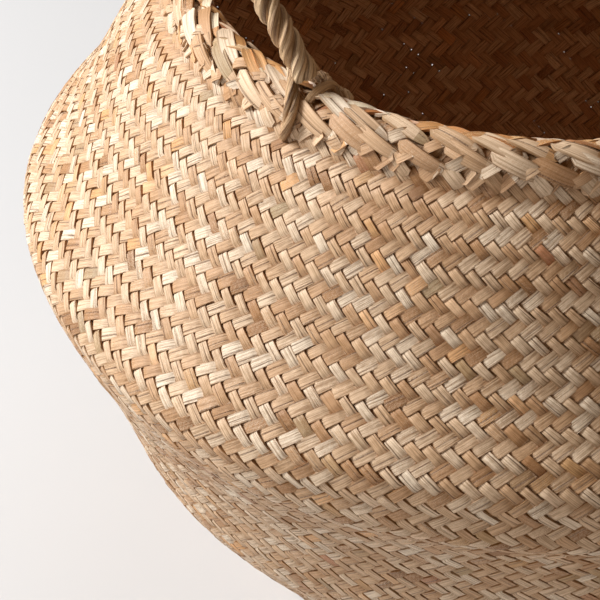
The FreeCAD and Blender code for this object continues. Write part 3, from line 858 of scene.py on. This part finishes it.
# The pieces at a handle's foot. Each has its name, then (out, up, degrees towards the tail) along it,
# how many plies it has, their radius and spread, and their turns. Lengths are in millimetres.
FOOT_PARTS = (
    ("outer_leg", ((4.6, 13.6, -0.6), (6.2, 10.5, 0.8), (6.9, 7, 2.0), (7.2, 3.5, 2.9), (7.2, -0.5, 3.4),
                   (6.2, -4.5, 3.3), (3.5, -7.5, 2.7), (0.0, -8.5, 2.2)), 2, 1.3, 0.85, 1.0),
    ("inner_leg", ((3.5, 13, -0.5), (-1.0, 12, -0.3), (-5, 9, 0.2), (-6.9, 4, 0.5), (-7.0, -3, 0.5),
                   (-3, -10.5, 0)), 2, 1.5, 1.0, 1.4),
    ("tail", ((-1.5, 10.2, 2.0), (-2.0, 9.8, 3.6), (-2.4, 8.8, 5.0), (-2.6, 8.3, 6.4), (-3.0, 7.4, 8.0),
              (-3.2, 5.4, 9.2)), 2, 1.25, 0.9, 0.8),
    ("tie", ((-5.0, 4.5, 6.6), (-3.6, 8.2, 6.4), (-0.2, 9.6, 5.9), (2.8, 7.6, 5.3), (4.7, 4.4, 4.9),
             (4.4, 2.2, 4.7)), 1, 1.35, 0.0, 0.0))


class BASKET_OT_handles(bpy.types.Operator):
    """Twists the two rope handles and threads their ends through the rim"""
    bl_idname = "basket.handles"
    bl_label = "Twist Handles"

    def execute(self, context):
        s = context.scene.basket_handles
        tree = twisted_rope_tree()
        for hand, facing in (("right", 0), ("left", 180)):
            rope = grow(f"{hand}_handle_rope", tree, arch(hand), {
                "Plies": 3, "Turns": s.turns, "Ply Radius": s.ply_radius, "Spread": s.spread, "Flat": 0.86,
                "Lumps": 0.75, "Segments": 180, "Seed": float(facing), "Material": FINISHES["rope"]})
            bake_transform(rope)
            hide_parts(*(f"{hand}_handle_ply_{i}" for i in (1, 2, 3)))
            for end, side in (("front", -1), ("rear", 1)):
                # the left handle is the right one turned half round
                away = side if hand == "right" else -side
                foot = facing + away * FOOT
                for part, places, plies, radius, spread, turns in FOOT_PARTS:
                    route = [on_rim(out * MM, up * MM, foot + away * along) for out, up, along in places]
                    piece = grow(f"{hand}_handle_{end}_{part}", tree, smooth(route), {
                        "Plies": plies, "Turns": turns, "Ply Radius": radius * MM, "Spread": spread * MM,
                        "Flat": 0.8 if plies > 1 else 0.35, "Taper": 0.55, "Lumps": 0.6, "Segments": 44,
                        "Seed": foot + radius, "Material": FINISHES["rope"]})
                    if "leg" in part:
                        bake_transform(piece)
                    else:
                        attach(piece, "basket")
                    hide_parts(f"{hand}_handle_{end}_{'loop' if 'leg' in part else 'tail'}")
        return {"FINISHED"}


class BASKET_OT_core(bpy.types.Operator):
    """Finishes the strand bundle that the rim is plaited round"""
    bl_idname = "basket.core"
    bl_label = "Finish Core"

    def execute(self, context):
        core = frame["nodes"]["rim_core"]
        for slot in core.material_slots:
            slot.material = FINISHES["bundle"]
        return {"FINISHED"}


class BASKET_OT_stage(bpy.types.Operator):
    """Sets the floor, the soft lights and the camera"""
    bl_idname = "basket.stage"
    bl_label = "Set Stage"

    def execute(self, context):
        s = context.scene.basket_stage
        scene = context.scene
        scene.view_settings.view_transform = "Standard"
        aim = Vector((0, 0, FOLD_Z))
        back = Vector((math.sin(s.azimuth) * math.cos(s.elevation),
                       -math.cos(s.azimuth) * math.cos(s.elevation), math.sin(s.elevation)))
        camera = bpy.data.objects.new("camera", bpy.data.cameras.new("camera"))
        scene.collection.objects.link(camera)
        camera.data.lens = s.lens
        camera.data.sensor_width = SENSOR
        camera.data.clip_start = 0.01
        camera.location = aim + back * s.distance
        pitch, yaw, roll = s.aim
        turn = back.to_track_quat("Z", "Y") @ Quaternion((0, 1, 0), yaw)
        turn = turn @ Quaternion((1, 0, 0), pitch) @ Quaternion((0, 0, 1), roll)
        camera.rotation_mode = "QUATERNION"
        camera.rotation_quaternion = turn
        scene.camera = camera
        bpy.ops.mesh.primitive_plane_add(size=s.floor_size)
        floor = context.active_object
        floor.name = "floor"
        paper, _, shader = new_material("matt_paper_floor", 0.9)
        shader.inputs["Base Color"].default_value = s.floor
        floor.data.materials.append(paper)
        world = bpy.data.worlds.new("soft_room")
        world.use_nodes = True
        background = world.node_tree.nodes["Background"]
        background.inputs["Color"].default_value = s.room
        background.inputs["Strength"].default_value = s.room_strength
        scene.world = world
        # name, place in metres seen from the camera (right, away, up), size, power
        lights = (("window_left", (-1.3, 0.03, 1.0), 0.7, 43), ("sky_panel", (0.1, 0.6, 1.8), 1.2, 4),
                  ("floor_card", (-0.5, -0.8, 0.05), 0.5, 2))
        for name, place, size, power in lights:
            light = bpy.data.objects.new(name, bpy.data.lights.new(name, "AREA"))
            scene.collection.objects.link(light)
            light.data.size = size
            light.data.energy = power
            light.data.color = s.daylight
            light.visible_camera = False
            spot = Vector(place)
            spot.rotate(Quaternion((0, 0, 1), s.azimuth))
            light.location = spot
            light.rotation_mode = "QUATERNION"
            light.rotation_quaternion = (spot - aim).to_track_quat("Z", "Y")
        return {"FINISHED"}


class BASKET_PT_panel(bpy.types.Panel):
    """Lists the basket's operators"""
    bl_label = "Seagrass Basket"
    bl_idname = "BASKET_PT_panel"
    bl_space_type = "VIEW_3D"
    bl_region_type = "UI"
    bl_category = "Basket"

    def draw(self, context):
        for operator in OPERATORS:
            self.layout.operator(operator.bl_idname)


OPERATORS = (BASKET_OT_stage, BASKET_OT_walls, BASKET_OT_base, BASKET_OT_rim, BASKET_OT_core,
             BASKET_OT_handles)
SETTINGS = {"basket_weave": WeaveSettings, "basket_rim": RimSettings, "basket_handles": HandleSettings,
            "basket_stage": StageSettings}
FINISHES = {}


def register():
    for group in SETTINGS.values():
        bpy.utils.register_class(group)
    for name, group in SETTINGS.items():
        setattr(bpy.types.Scene, name, bpy.props.PointerProperty(type=group))
    for part in (*OPERATORS, BASKET_PT_panel):
        bpy.utils.register_class(part)


def unregister():
    for part in (BASKET_PT_panel, *reversed(OPERATORS)):
        bpy.utils.unregister_class(part)
    for name, group in SETTINGS.items():
        delattr(bpy.types.Scene, name)
        bpy.utils.unregister_class(group)


def main():
    register()
    FINISHES.update(materials())
    bpy.ops.basket.stage()
    bpy.ops.basket.walls()
    bpy.ops.basket.base()
    bpy.ops.basket.rim()
    bpy.ops.basket.core()
    bpy.ops.basket.handles()


if __name__ == "__main__":
    main()
